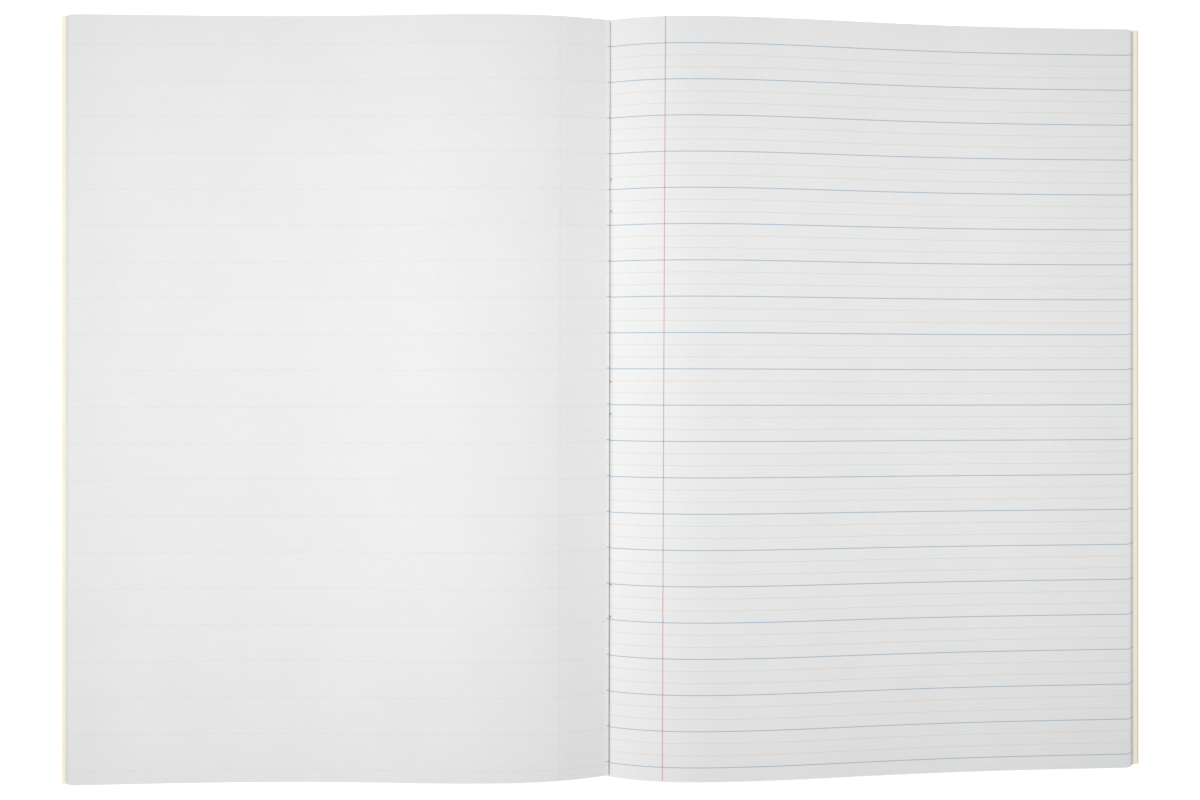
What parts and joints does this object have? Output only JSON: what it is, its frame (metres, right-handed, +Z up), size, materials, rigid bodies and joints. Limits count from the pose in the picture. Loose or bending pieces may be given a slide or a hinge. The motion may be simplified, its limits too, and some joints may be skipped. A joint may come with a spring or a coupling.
{
  "type": "exercise book",
  "caption": "Open stapled A4 exercise book: thin card cover, leaves in two arched blocks, plain left page and ruled right page, three staples through the fold.",
  "frame": {"origin": "middle of the cover's fold, on the surface the book lies on", "axes": "+X to the right-hand fore-edge, +Y to the head of the pages, +Z up out of the open pages"},
  "size_m": [0.426, 0.297, 0.005],
  "materials": {
    "cover_card": "matt cream manila card",
    "page_paper": "matt uncoated white paper",
    "staple_wire": "bright drawn wire"
  },
  "bodies": {
    "back_half": {"back_cover": "cover_card", "right_leaves": "page_paper", "staple_head": "staple_wire", "staple_middle": "staple_wire", "staple_tail": "staple_wire"},
    "front_half": {"front_cover": "cover_card", "left_leaves": "page_paper"}
  },
  "joints": [
    {"name": "front_cover_hinge", "type": "hinge", "parent": "back_half", "child": "front_half", "pos_m": [0, 0, 0.00343], "axis": [0, 1, 0], "range_deg": [0, 175]}
  ]
}
